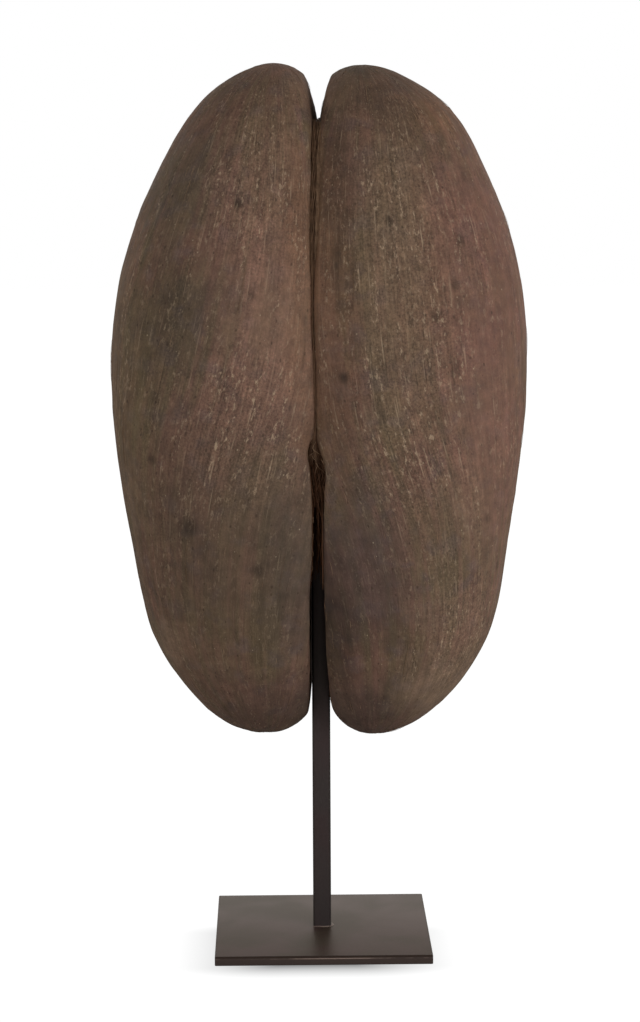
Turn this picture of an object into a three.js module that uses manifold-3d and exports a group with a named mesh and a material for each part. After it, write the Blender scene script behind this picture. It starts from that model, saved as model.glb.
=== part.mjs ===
// A coco de mer nut carried on a small display stand: a square steel post on a square steel plate.
// Millimetres, +Z up. The origin is under the middle of the object, on the surface it stands on.
//
// The nut is one piece: two long lobes with flat facing walls, joined by a web. The web stops short of
// the surface, which leaves the narrow furrow round the nut, and short of both ends, which leaves the
// notch between the lobes' tops and the open cleft between their lower ends. The post stands in the
// cleft: its shoulder bears on a flat at the head of the cleft and its spigot goes up into the web.

import * as THREE from 'three';
import { mergeVertices } from 'three/addons/utils/BufferGeometryUtils.js';
import Module from 'manifold-3d';

// ---------------------------------------------------------------- driving dimensions

const PLATE = {
  width: 100,
  thickness: 4.4,
  cornerRadius: 1,
  screwRadius: 2.3,
  sinkRadius: 4.4, // the countersink, at the underside
  sinkRim: 0.2,
};

const POST = {
  side: 8.4,
  cornerRadius: 0.6,
  shoulderZ: 187, // where the nut bears on it
  spigotRadius: 2.5,
  spigotLength: 34,
  footHoleRadius: 2.3,
  footHoleDepth: 14,
};

const SCREW = {
  shankRadius: 2,
  tipZ: 16.4,
  headRadius: 3.9,
  headZ: 0.4, // the head is sunk this far into the plate
  rimHeight: 0.3,
  keyAcrossFlats: 2.5,
  keyDepth: 1.5,
};

// The hole for the spigot in the nut, and the flat round it that bears on the post's shoulder.
const SOCKET = { clearance: 0.3, extraDepth: 3, seatMargin: 0.8, seatHeight: 6 };

// Each lobe is a stack of rounded rings between a lowest and a highest point, its two poles. A ring
// reaches `outward` from the line between the poles on its outer side and `inward` on its inner side,
// where the wall cuts it off. The reaches are those of the lobe's fullest ring, listed at equal steps
// of latitude from the bottom pole to the top one.
const LOBES = {
  left: {
    side: -1,
    bottom: { x: 25.5, z: 98 },
    top: { x: 20.5, z: 408.5 },
    outward: [68, 71, 73.5, 68.5, 72, 74, 71, 69, 54],
  },
  right: {
    side: 1,
    bottom: { x: 24.5, z: 98 },
    top: { x: 21.5, z: 407.5 },
    outward: [62, 71, 75, 69.5, 72, 75.5, 75.5, 75.5, 51],
  },
};
const INWARD = [62, 50, 66];
const HALF_DEPTH = [70, 66, 63.5, 65, 70];
const FRONT_SHARE = 0.97; // the belly is a little flatter than the back
const BACK_SHARE = 1.03;
const FORWARD_SHIFT = 2;
const RING_POWER = 2.4; // 2 is an ellipse, more is squarer

// Half the distance between the two facing walls.
const WALL = {
  furrow: 0.7,
  furrowAtTop: 0.6, // added at the notch, fading out downward
  furrowFade: 60,
  notchZ: 383,
  notchSpread: 8, // added one notchRise above the notch
  notchRise: 21,
  notchPower: 1.6,
  lip: 3.1, // added at the cleft's front and back edges
  room: 1.6, // and once more in mid-depth, where the post stands
  roomHalfDepth: 34,
  roomPower: 4,
  cleftZ: 238,
  cleftEase: 3,
  softness: 2, // how gently the wall turns into the rounded surface
};

// The web's outline seen from the side.
const WEB = {
  halfThickness: 8,
  centreZ: 262,
  halfDepth: 53,
  crotchZ: 186, // its lowest edge, in mid-depth
  crotchRimZ: 240, // its lower edge at the front and the back
  crotchPower: 1.25,
};

const NUT_TURN_DEG = -3; // how far the nut is turned on its post

const LOBE_RINGS = 28;
const LOBE_SIDES = 36;
const WEB_STEPS = 14;
const ROUND_SIDES = 24;
const CORNER_STEPS = 3;
const PAST = 1; // how far a cutting or joining solid reaches past the face it starts from

// ---------------------------------------------------------------- materials

const huskMaterial = new THREE.MeshStandardMaterial({ color: 0x604a3c, roughness: 0.75, metalness: 0 });
const paintMaterial = new THREE.MeshStandardMaterial({ color: 0x382f2c, roughness: 0.5, metalness: 0.3 });
const screwMaterial = new THREE.MeshStandardMaterial({ color: 0x8d9094, roughness: 0.35, metalness: 0.9 });

// ---------------------------------------------------------------- solids

const wasm = await Module();
wasm.setup();

function solidOf(geometry) {
  geometry.deleteAttribute('normal');
  geometry.deleteAttribute('uv');
  const merged = mergeVertices(geometry, 1e-4);
  return new wasm.Manifold(new wasm.Mesh({
    numProp: 3,
    vertProperties: new Float32Array(merged.attributes.position.array),
    triVerts: new Uint32Array(merged.index.array),
  }));
}

function geometryOf(solid) {
  const mesh = solid.getMesh();
  const geometry = new THREE.BufferGeometry();
  geometry.setAttribute('position', new THREE.BufferAttribute(new Float32Array(mesh.vertProperties), 3));
  geometry.setIndex(Array.from(mesh.triVerts));
  geometry.computeVertexNormals();
  return geometry;
}

function meshOf(name, solid, material) {
  const mesh = new THREE.Mesh(geometryOf(solid), material);
  mesh.name = name;
  return mesh;
}

function upright(radius, fromZ, toZ, sides = ROUND_SIDES) {
  const rod = new THREE.CylinderGeometry(radius, radius, toZ - fromZ, sides);
  rod.rotateX(Math.PI / 2);
  rod.translate(0, 0, (fromZ + toZ) / 2);
  return solidOf(rod);
}

function turned(profile) {
  const points = profile.map(([radius, z]) => new THREE.Vector2(radius, z));
  const body = new THREE.LatheGeometry(points, ROUND_SIDES);
  body.rotateX(Math.PI / 2); // the lathe turns round Y; the profile's second number becomes Z
  return solidOf(body);
}

function roundedSquareBar(side, radius, fromZ, toZ) {
  const half = side / 2;
  const shape = new THREE.Shape();
  shape.moveTo(half, radius - half);
  shape.absarc(half - radius, half - radius, radius, 0, Math.PI / 2);
  shape.absarc(radius - half, half - radius, radius, Math.PI / 2, Math.PI);
  shape.absarc(radius - half, radius - half, radius, Math.PI, Math.PI * 1.5);
  shape.absarc(half - radius, radius - half, radius, Math.PI * 1.5, Math.PI * 2);
  const bar = new THREE.ExtrudeGeometry(shape, { depth: toZ - fromZ, bevelEnabled: false, curveSegments: CORNER_STEPS });
  bar.translate(0, 0, fromZ);
  return solidOf(bar);
}

// ---------------------------------------------------------------- the nut

// A smooth curve through evenly spaced values, read at t from 0 to 1.
function smoothThrough(values) {
  const curve = new THREE.SplineCurve(values.map((value) => new THREE.Vector2(0, value)));
  return (t) => curve.getPoint(t).y;
}

function signedPower(base, power) {
  return Math.sign(base) * Math.abs(base) ** power;
}

// Half the distance between the lobes' walls at depth y and height z.
function wallAt(y, z) {
  const underNotch = Math.max(0, WALL.notchZ - z);
  const furrow = WALL.furrow + WALL.furrowAtTop * Math.exp(-underNotch / WALL.furrowFade);
  const aboveNotch = Math.max(0, z - WALL.notchZ);
  const notch = WALL.notchSpread * (aboveNotch / WALL.notchRise) ** WALL.notchPower;
  const inCleft = 1 / (1 + Math.exp((z - WALL.cleftZ) / WALL.cleftEase));
  const room = WALL.room / (1 + (y / WALL.roomHalfDepth) ** WALL.roomPower);
  return furrow + notch + inCleft * (WALL.lip + room);
}

// The larger of x and the wall, with a rounded corner between the two.
function behindWall(x, wall) {
  const past = x - wall;
  return wall + (past + Math.hypot(past, WALL.softness)) / 2;
}

function lobePoint(lobe, reach, latitude, around) {
  const t = latitude / Math.PI;
  const rise = (1 - Math.cos(latitude)) / 2;
  const girth = Math.sin(latitude);
  const poleX = THREE.MathUtils.lerp(lobe.bottom.x, lobe.top.x, rise);
  const z = THREE.MathUtils.lerp(lobe.bottom.z, lobe.top.z, rise);
  const outer = poleX + reach.outward(t) * girth;
  const inner = poleX - reach.inward(t) * girth;
  const depth = reach.depth(t) * girth * (Math.sin(around) < 0 ? FRONT_SHARE : BACK_SHARE);
  const across = signedPower(Math.cos(around), 2 / RING_POWER);
  const y = depth * signedPower(Math.sin(around), 2 / RING_POWER) - FORWARD_SHIFT * girth;
  const x = (outer + inner) / 2 + across * (outer - inner) / 2;
  return [lobe.side * behindWall(x, wallAt(y, z)), y, z];
}

function lobeSolid(lobe) {
  const reach = {
    outward: smoothThrough(lobe.outward),
    inward: smoothThrough(INWARD),
    depth: smoothThrough(HALF_DEPTH),
  };
  const positions = [...lobePoint(lobe, reach, 0, 0)];
  for (let ring = 1; ring < LOBE_RINGS; ring += 1) {
    for (let side = 0; side < LOBE_SIDES; side += 1) {
      const latitude = (Math.PI * ring) / LOBE_RINGS;
      const around = (2 * Math.PI * side) / LOBE_SIDES;
      positions.push(...lobePoint(lobe, reach, latitude, around));
    }
  }
  positions.push(...lobePoint(lobe, reach, Math.PI, 0));

  const bottom = 0;
  const top = positions.length / 3 - 1;
  const at = (ring, side) => 1 + (ring - 1) * LOBE_SIDES + (side % LOBE_SIDES);
  const triangles = [];
  // The left lobe is a mirror image, so its triangles run the other way round.
  const add = (a, b, c) => triangles.push(...(lobe.side > 0 ? [a, b, c] : [a, c, b]));
  for (let side = 0; side < LOBE_SIDES; side += 1) {
    add(bottom, at(1, side + 1), at(1, side));
    add(top, at(LOBE_RINGS - 1, side), at(LOBE_RINGS - 1, side + 1));
    for (let ring = 1; ring < LOBE_RINGS - 1; ring += 1) {
      add(at(ring, side), at(ring, side + 1), at(ring + 1, side + 1));
      add(at(ring, side), at(ring + 1, side + 1), at(ring + 1, side));
    }
  }
  const geometry = new THREE.BufferGeometry();
  geometry.setAttribute('position', new THREE.Float32BufferAttribute(positions, 3));
  geometry.setIndex(triangles);
  return solidOf(geometry);
}

// The web between the lobes: an arch over the top, and a lower edge that dips in mid-depth.
function webSolid() {
  const halfHeight = WALL.notchZ - WEB.centreZ;
  const rimSine = (WEB.crotchRimZ - WEB.centreZ) / halfHeight;
  const rimAngle = Math.asin(rimSine);
  const shape = new THREE.Shape();
  for (let step = 0; step <= 2 * WEB_STEPS; step += 1) {
    const angle = THREE.MathUtils.lerp(rimAngle, Math.PI - rimAngle, step / (2 * WEB_STEPS));
    const depth = WEB.halfDepth * Math.cos(angle);
    const z = WEB.centreZ + halfHeight * Math.sin(angle);
    if (step === 0) shape.moveTo(depth, z);
    else shape.lineTo(depth, z);
  }
  const rimDepth = WEB.halfDepth * Math.cos(rimAngle);
  for (let step = 1; step < 2 * WEB_STEPS; step += 1) {
    const share = -1 + step / WEB_STEPS;
    const dip = Math.abs(share) ** WEB.crotchPower;
    shape.lineTo(share * rimDepth, THREE.MathUtils.lerp(WEB.crotchZ, WEB.crotchRimZ, dip));
  }
  const web = new THREE.ExtrudeGeometry(shape, { depth: 2 * WEB.halfThickness, bevelEnabled: false });
  web.translate(0, 0, -WEB.halfThickness);
  web.rotateX(Math.PI / 2); // the outline's second number becomes Z
  web.rotateZ(Math.PI / 2); // and its first number Y
  web.translate(0, -FORWARD_SHIFT, 0);
  return solidOf(web);
}

function nutSolid() {
  const whole = lobeSolid(LOBES.left).add(lobeSolid(LOBES.right)).add(webSolid());
  const geometry = geometryOf(whole);
  geometry.rotateZ(THREE.MathUtils.degToRad(NUT_TURN_DEG));
  const seatSide = POST.side + 2 * SOCKET.seatMargin;
  const seat = new THREE.BoxGeometry(seatSide, seatSide, SOCKET.seatHeight);
  seat.translate(0, 0, POST.shoulderZ - SOCKET.seatHeight / 2);
  const holeTop = POST.shoulderZ + POST.spigotLength + SOCKET.extraDepth;
  const hole = upright(POST.spigotRadius + SOCKET.clearance, POST.shoulderZ - PAST, holeTop);
  return solidOf(geometry).subtract(solidOf(seat)).subtract(hole);
}

// ---------------------------------------------------------------- the stand

function postSolid() {
  const bar = roundedSquareBar(POST.side, POST.cornerRadius, PLATE.thickness, POST.shoulderZ);
  const spigotTop = POST.shoulderZ + POST.spigotLength;
  const spigot = upright(POST.spigotRadius, POST.shoulderZ - PAST, spigotTop);
  const holeTop = PLATE.thickness + POST.footHoleDepth;
  const footHole = upright(POST.footHoleRadius, PLATE.thickness - PAST, holeTop);
  return bar.add(spigot).subtract(footHole);
}

function plateSolid() {
  const plate = roundedSquareBar(PLATE.width, PLATE.cornerRadius, 0, PLATE.thickness);
  const coneHeight = PLATE.sinkRadius - PLATE.screwRadius; // a 90 degree countersink
  const sink = turned([
    [0, -PAST],
    [PLATE.sinkRadius, -PAST],
    [PLATE.sinkRadius, PLATE.sinkRim],
    [PLATE.screwRadius, PLATE.sinkRim + coneHeight],
    [PLATE.screwRadius, PLATE.thickness + PAST],
    [0, PLATE.thickness + PAST],
  ]);
  return plate.subtract(sink);
}

function screwSolid() {
  const coneHeight = SCREW.headRadius - SCREW.shankRadius;
  const rimTop = SCREW.headZ + SCREW.rimHeight;
  const body = turned([
    [0, SCREW.headZ],
    [SCREW.headRadius, SCREW.headZ],
    [SCREW.headRadius, rimTop],
    [SCREW.shankRadius, rimTop + coneHeight],
    [SCREW.shankRadius, SCREW.tipZ],
    [0, SCREW.tipZ],
  ]);
  const keyRadius = SCREW.keyAcrossFlats / Math.sqrt(3); // centre to corner of the hexagon
  return body.subtract(upright(keyRadius, SCREW.headZ - PAST, SCREW.headZ + SCREW.keyDepth, 6));
}

// ---------------------------------------------------------------- the object

const object = new THREE.Group();
const stand = new THREE.Group();
stand.add(
  meshOf('base_plate', plateSolid(), paintMaterial),
  meshOf('post', postSolid(), paintMaterial),
  meshOf('screw', screwSolid(), screwMaterial),
);
object.add(stand, meshOf('nut', nutSolid(), huskMaterial));

export default object;
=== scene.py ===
"""A coco de mer nut on its display stand: the looks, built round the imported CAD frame.

Metres, +Z up, in the part's own frame. The camera looks along +Y, at the nut's belly.
"""

import math

import bmesh
import bpy
import numpy as np
from mathutils import Matrix, Vector

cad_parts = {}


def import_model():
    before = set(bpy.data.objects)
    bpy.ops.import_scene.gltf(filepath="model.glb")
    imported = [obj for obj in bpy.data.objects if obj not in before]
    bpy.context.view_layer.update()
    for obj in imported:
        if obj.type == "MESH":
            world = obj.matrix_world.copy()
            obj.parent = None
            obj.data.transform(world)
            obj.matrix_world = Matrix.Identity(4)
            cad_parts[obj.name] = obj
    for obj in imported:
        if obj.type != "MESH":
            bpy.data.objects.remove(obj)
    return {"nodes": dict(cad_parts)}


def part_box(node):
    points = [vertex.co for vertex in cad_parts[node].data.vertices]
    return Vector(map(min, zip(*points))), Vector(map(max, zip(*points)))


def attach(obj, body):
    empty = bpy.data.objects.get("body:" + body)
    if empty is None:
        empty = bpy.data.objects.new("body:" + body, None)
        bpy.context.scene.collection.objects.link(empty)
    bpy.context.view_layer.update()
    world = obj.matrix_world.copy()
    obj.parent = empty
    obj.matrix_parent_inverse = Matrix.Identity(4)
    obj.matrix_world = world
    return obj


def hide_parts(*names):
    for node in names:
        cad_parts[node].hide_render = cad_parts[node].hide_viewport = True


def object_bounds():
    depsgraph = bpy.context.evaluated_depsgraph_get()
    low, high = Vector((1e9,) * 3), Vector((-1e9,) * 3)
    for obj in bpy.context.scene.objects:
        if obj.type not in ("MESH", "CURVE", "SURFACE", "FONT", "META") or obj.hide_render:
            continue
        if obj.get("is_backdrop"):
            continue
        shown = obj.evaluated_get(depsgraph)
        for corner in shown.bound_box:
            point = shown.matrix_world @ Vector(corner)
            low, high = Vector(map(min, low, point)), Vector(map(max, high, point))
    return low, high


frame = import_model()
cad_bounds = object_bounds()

MM = 0.001
TINY = 1e-12  # keeps a division by zero away
STEEP = 50.0  # beyond this an exponent makes no difference

# ---- driving dimensions, millimetres

# A lobe is a stack of rounded rings between two poles. The rings reach `outward` and `inward` of the
# line between the poles, at equal steps of latitude from the bottom up, and the facing wall cuts off
# their inner side. `lip_softness`: how round the lobe's lip is. `flare`: by how much the cleft is
# wider near its head, at what height and over what rise. `lean`: how far the fibres lean away from
# the furrow on their way down, as a share of the way round, where on the way up they lean most, and
# over what part of it.
LOBES = {
    "left": {
        "side": -1,
        "bottom": (25.5, 98.0),
        "top": (20.5, 408.5),
        "outward": (68, 70.5, 72.5, 68.9, 72, 74.6, 70.7, 68.2, 53),
        "inward": (60, 50, 58),
        "lip_softness": 0.6,
        "cleft_z": 241.5,
        "flare": (1.0, 238.5, 4.5),
        "lean": (0.048, 0.48, 0.12),
        "seed": 11,
    },
    "right": {
        "side": 1,
        "bottom": (24.5, 98.0),
        "top": (21.5, 407.5),
        "outward": (59, 71, 74.4, 68.6, 71.7, 75.2, 75.5, 76.9, 47),
        "inward": (52, 50, 66),
        "lip_softness": 1.0,
        "cleft_z": 235.5,
        "flare": (1.4, 228.0, 12.0),
        "lean": (0.042, 0.44, 0.09),
        "seed": 23,
    },
}
HALF_DEPTH = (70, 66, 63.5, 65, 70)
FRONT_SHARE, BACK_SHARE = 0.97, 1.03
FORWARD_SHIFT = 2.0
RING_POWER = 2.4
NUT_TURN = math.radians(-3)

# How far the facing walls are from the middle of the gap: in the furrow, how much more in its top
# part, and more again at its lips there; then in the notch and in the cleft.
FURROW, FURROW_TOP, FURROW_LIPS = 0.15, 0.85, 0.9
FURROW_WIDENS_Z, FURROW_EASE = 322.0, 6.0
LIPS_START_Y, LIPS_REACH = 12.0, 12.0
NOTCH_Z, NOTCH_SPREAD, NOTCH_RISE, NOTCH_POWER = 383.0, 5.6, 21.0, 1.25
CLEFT_EASE, CLEFT_LIP = 2.0, 2.9
CLEFT_ROOM, ROOM_HALF_DEPTH, ROOM_POWER = 1.6, 34.0, 4
LEAST_GAP = 0.05
BOTTOM_SOFTNESS, BOTTOM_SOFT_Z, BOTTOM_SOFT_REACH = 3.0, 140.0, 25.0

# The web that joins the lobes, seen from the side: an arch that stays below the furrow's lips, by so
# much at equal steps from the head of the cleft up to the notch.
WEB_HALF_THICKNESS = 8.0
WEB_CENTRE_Z, WEB_HALF_DEPTH, WEB_ARCH_POWER = 262.0, 62.0, 4.0
WEB_BELOW_LIPS = (0.8, 0.8, 1.2, 2.2, 3.0, 3.0)
CROTCH_Z, CROTCH_RIM_Z, CROTCH_POWER = 186.0, 240.0, 1.25

# How the furrow wanders, from the head of the cleft up to the notch, and the swelling of one lip.
FURROW_WANDER, WANDER_FROM_Z, WANDER_REACH = (0.2, 0.2, -1.0, -0.8, -0.1, 0.8), 236.0, 14.0
WANDER_HOLD = 1.2  # at 1 it would fade to nothing at both ends
LIP_SWELL, LIP_SWELL_Y, LIP_SWELL_Z = 1.65, -55.0, 204.0
LIP_SWELL_REACH, LIP_SWELL_RISE, LIP_SWELL_POWER = 16.0, 26.0, 4

# Where the post meets the nut.
SHOULDER_Z, SPIGOT_RADIUS, HOLE_CLEARANCE = 187.0, 2.5, 0.3
SEAT_MARGIN, SEAT_HEIGHT, HOLE_SPARE = 0.8, 6.0, 3.0

# The stand. Its outer sizes are read from the frame.
PLATE_EDGE_ROUND, POST_CORNER_ROUND, EDGE_SEGMENTS = 0.5, 0.8, 4
PLATE_HOLE_RADIUS, PLATE_SINK_RADIUS, PLATE_SINK_RIM = 2.3, 4.4, 0.2
FOOT_HOLE_RADIUS, FOOT_HOLE_DEPTH = 2.3, 14.0
BEAD_RADIUS, BEAD_HEIGHT, BEAD_PLACE = 4.7, 0.4, (0.8, -0.3)  # of weld round the post's foot
BEAD_SUNK = 0.05
PAST = 1.0  # how far a cutter reaches past what it cuts
ROUND_SIDES = 48
STAND_SHARP_ANGLE = math.radians(35)

# Relief of the husk: height and cell in millimetres, and for the ridges how many go round and along.
SWELL, DENTS, ROUGH_ENDS = (0.5, 48.0), (0.35, 15.0), (0.5, 5.0)
FIBRE_RIDGES = ((0.16, 90, 26), (0.10, 170, 60))
ROUGH_REACH, RIDGE_FADE = 0.10, 0.16  # shares of the way from a pole to the middle
RIDGE_SWAY, SWAYS_ROUND, SWAYS_ALONG = 1.5, 12, 8  # how far the ridges sway, in ridges, and how often
WALL_CALM, CALM_FROM_X, CALM_REACH = 0.8, 2.0, 4.0  # what the facing walls lose of all this, and where
NOISE_ROWS, NOISE_SIDE, NOISE_START = 256, 64, 400  # sizes of the noise tables, in cells

LATITUDE_ROWS = 208
AROUND_COLUMNS = 232
WALL_DENSITY, WALL_X = 0.3, 2.2  # how densely the facing walls are meshed, and where they end
LIP_DENSITY, LIP_X = 1.8, 8.0  # the same beside the furrow
RING_SAMPLES = 4001
WEB_ARCH_STEPS, WEB_CROTCH_STEPS, WEB_COLUMNS = 160, 90, 13
# Strings on the web: height, width in millimetres and length in steps, and the part of the pattern.
WEB_RELIEF, WEB_STRING, WEB_PATTERN, WEB_SEED = 0.5, (1.3, 9.0), (40, 80), 5
SHARP_ANGLE = math.radians(50)

# Loose fibres on each lobe: how many, lengths, how high they arch, radius, bend in columns, where
# along the lobe and round it, and tones from 0, brown, to 1, pale.
FIBRE_KINDS = (
    (420, (2.0, 6.0), 0.10, 0.11, 0.35, (0.03, 0.97), (0.0, 1.0), (0.4, 1.0)),
    (50, (9.0, 24.0), 0.30, 0.08, 0.35, (0.05, 0.95), (0.0, 1.0), (0.3, 0.8)),
    (9, (3.0, 7.0), 0.70, 0.09, 1.60, (0.29, 0.42), (0.09, 0.15), (0.8, 1.0)),
)
FIBRE_STEP, FIBRE_SUNK, FIBRE_DRIFT = 1.6, 0.05, 0.03  # the drift is in columns a millimetre
FIBRE_THICKNESS, LEAST_STEPS, ROW_SPARE = (0.7, 1.2), 3, 0.001
STRAND_SIDES, STRAND_TIP, STRAND_TAPER = 3, 0.35, 0.15  # at a tip: the radius's share, the taper's angle
STRAND_ASIDE = (0.31, 0.83, 0.46)  # no strand runs this way
FIBRE_SEED, TUFT_SEED, STRING_SEED = 71, 72, 73
LEAN_STEPS = 12
LOBE_LENGTH, LOBE_GIRTH = 350.0, 360.0  # along a lobe from pole to pole, and round its middle
ROWS_PER_MM = LATITUDE_ROWS / LOBE_LENGTH

# Strings in the furrow: how many in front and behind, between which heights, lengths, how far below
# the lips, which part of the furrow's half width they keep to, radii and tones.
FURROW_STRINGS = (
    (100, 100, (232.0, 383.5), (18.0, 60.0), (0.1, 1.5), (-1.0, 0.9), (0.14, 0.26), (0.18, 0.42)),
    (50, 50, (240.0, 326.0), (18.0, 50.0), (0.0, 0.5), (-1.0, 1.2), (0.14, 0.24), (0.16, 0.36)),
    (40, 40, (322.0, 382.0), (18.0, 48.0), (0.0, 0.6), (0.55, 1.25), (0.20, 0.36), (0.42, 0.66)),
    (24, 24, (366.0, 383.5), (8.0, 16.0), (0.2, 1.4), (-1.0, 1.0), (0.14, 0.26), (0.08, 0.30)),
    (150, 150, (212.0, 248.0), (9.0, 24.0), (0.2, 1.8), (-1.1, 1.1), (0.12, 0.24), (0.0, 0.14)),
    (40, 40, (232.0, 250.0), (6.0, 14.0), (0.1, 0.9), (-1.1, 1.1), (0.12, 0.22), (0.08, 0.26)),
)
STRING_STEP, STRING_SWAY, STRING_SWAY_LENGTH = 3.0, 0.25, 14.0
STRING_TUCK, STRING_CLEARANCE = 0.4, 0.1

# Hairs at the head of the cleft: how many in front and behind, how far out they root, lengths, curl,
# lean, radii and tones.
TUFT_HAIRS = (
    (480, 240, (0.55, 1.0), (10.0, 75.0), (0.4, 1.5), 0.14, (0.12, 0.24), (0.0, 0.08)),
    (13, 8, (0.97, 1.02), (6.0, 15.0), (1.4, 2.8), 0.45, (0.08, 0.12), (0.7, 1.0)),
)
TUFT_STEPS, TUFT_CLEARANCE, TUFT_BACK_SET, TUFT_ABOVE = 9, 0.25, 0.9, 1.0
TUFT_ACROSS, TUFT_LEAN_OUT = (-0.95, 0.95), (-0.18, 0.03)
TUFT_WAVE, TUFT_WAVE_OUT, TUFT_DROOP = 4.5, 0.5, 0.12

# The camera: where it is, in millimetres, and how it is turned: yaw, pitch down and roll.
CAMERA_PLACE = (-19.757, -1286.752, 393.466)
CAMERA_TURN = (0.015294, 0.14712, -0.0049714)
SENSOR_WIDTH = 36.0
FOCAL_PIXELS = 2800.0
IMAGE_HEIGHT = 1022  # pixels; the photograph is 640 wide
CAMERA_LENS = FOCAL_PIXELS / IMAGE_HEIGHT * SENSOR_WIDTH
CLIP_START, CLIP_END = 0.05, 50  # metres

# The studio: each light's name, place, aim, side and power; the floor's paper.
SOFTBOXES = (
    ("key", (1530, -900, 200), (0, 0, 250), 1200, 25.0),
    ("fill", (-1140, -1520, 280), (0, 0, 250), 1200, 13.0),
)
WORLD_FRONT, WORLD_BACK, WORLD_FRONT_ENDS = (0.27, 0.25, 0.23, 1), (0.78, 0.72, 0.66, 1), 0.7
WHITE = (1, 1, 1, 1)
FLOOR_SIDE, FLOOR_DROP = 9000.0, 0.1
FLOOR_BOUNCE = (0.5, 0.49, 0.48, 1)
# The contact shadow: its middle, its core's half size and how far it fades, across and deep, and how
# much it takes from the paper's white.
SHADOW_MIDDLE, SHADOW_CORE, SHADOW_FADE = (-3.5, -25.0), (18.0, 25.0), (55.0, 22.0)
SHADOW_DEPTH, SHADOW_POWER, PAPER_WHITE = 0.75, 1.6, 1.05


# ---- numbers

def smooth_through(values, t):
    """A uniform Catmull-Rom curve through evenly spaced values, read at t from 0 to 1."""
    values = np.asarray(values, float)
    last = len(values) - 1
    place = np.clip(t, 0, 1) * last
    step = np.minimum(place.astype(int), last - 1)
    part = place - step
    before, start = values[np.maximum(step - 1, 0)], values[step]
    end, after = values[step + 1], values[np.minimum(step + 2, last)]
    slope_in, slope_out = (end - before) / 2, (after - start) / 2
    cubic = (2 * start - 2 * end + slope_in + slope_out) * part**3
    square = (-3 * start + 3 * end - 2 * slope_in - slope_out) * part**2
    return cubic + square + slope_in * part + start


def signed_power(base, power):
    return np.sign(base) * np.abs(base) ** power


def cell_noise(seed, places, repeats):
    """Smooth random numbers from -1 to 1 at places counted in cells, which repeat along each axis."""
    table = np.random.default_rng(seed).uniform(-1, 1, repeats)
    corner = np.floor(places).astype(int)
    part = places - corner
    part = np.moveaxis(part * part * (3 - 2 * part), -1, 0)
    total = 0
    for step in np.ndindex((2,) * len(repeats)):
        share = math.prod(x if far else 1 - x for x, far in zip(part, step))
        total = total + share * table[tuple(np.moveaxis((corner + step) % repeats, -1, 0))]
    return total


def strip_noise(seed, across, along, repeat):
    """The same on a strip, whose cells repeat after some across."""
    return cell_noise(seed, np.stack(np.broadcast_arrays(across, along), axis=-1), (repeat, NOISE_ROWS))


def unit(vectors):
    return vectors / (np.linalg.norm(vectors, axis=-1, keepdims=True) + TINY)


# ---- the nut's form

def eased(value, ease):
    """A smooth step from 0, where value is far below zero, to 1, where it is far above."""
    return 1 / (1 + np.exp(np.clip(-value / ease, -STEEP, STEEP)))


def half_gap(lobe, y, z):
    """How far a lobe's wall is from the middle of the gap, at depth y and height z."""
    at_lips = np.clip((np.abs(y) - LIPS_START_Y) / LIPS_REACH, 0, 1)
    furrow = FURROW + eased(z - FURROW_WIDENS_Z, FURROW_EASE) * (FURROW_TOP + FURROW_LIPS * at_lips)
    notch = NOTCH_SPREAD * (np.maximum(0, z - NOTCH_Z) / NOTCH_RISE) ** NOTCH_POWER
    room = CLEFT_ROOM / (1 + (y / ROOM_HALF_DEPTH) ** ROOM_POWER)
    flare, flare_z, flare_rise = lobe["flare"]
    head = flare * np.exp(-(((z - flare_z) / flare_rise) ** 2))
    return furrow + notch + head + eased(lobe["cleft_z"] - z, CLEFT_EASE) * (CLEFT_LIP + room)


def between_walls(share, y, z, clearance, aside=0.0, tuck=0.0):
    """Points of a strand at depths y and heights z, kept clear of the walls or tucked into them.

    The share, from -1 to 1, is how far x is from the middle to the walls, and aside is added to it.
    """
    gaps = (half_gap(lobe, y, z) - clearance for lobe in LOBES.values())
    left, right = (np.maximum(gap, LEAST_GAP) for gap in gaps)
    x = np.clip(np.where(share < 0, share * left, share * right) + aside, -left - tuck, right + tuck)
    return wander(np.stack([x, y, z], axis=1))


def behind_wall(x, wall, softness):
    """The larger of x and the wall, with a rounded corner between the two."""
    past = x - wall
    return wall + (past + np.hypot(past, softness)) / 2


def ring_reach(lobe, latitude):
    """A lobe's ring at a latitude: its inner and outer x, before the wall, its half depth and girth."""
    t = latitude / math.pi
    girth = np.sin(latitude)
    pole_x = lobe["bottom"][0] + (lobe["top"][0] - lobe["bottom"][0]) * (1 - np.cos(latitude)) / 2
    outer = pole_x + smooth_through(lobe["outward"], t) * girth
    inner = pole_x - smooth_through(lobe["inward"], t) * girth
    return inner, outer, smooth_through(HALF_DEPTH, t) * girth, girth


def lips(z):
    """The depths y of the furrow's lips at height z, in front and behind: the lobes' mean."""
    depths = []
    for lobe in LOBES.values():
        bottom, top = lobe["bottom"][1], lobe["top"][1]
        inner, outer, depth, girth = ring_reach(lobe, np.arccos(1 - 2 * (z - bottom) / (top - bottom)))
        across = np.minimum(1, np.abs((inner + outer) / 2 / ((outer - inner) / 2)))
        reach = depth * (1 - across**RING_POWER) ** (1 / RING_POWER)
        shift = FORWARD_SHIFT * girth
        depths.append((-FRONT_SHARE * reach - shift, BACK_SHARE * reach - shift))
    return np.mean(depths, axis=0)


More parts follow.
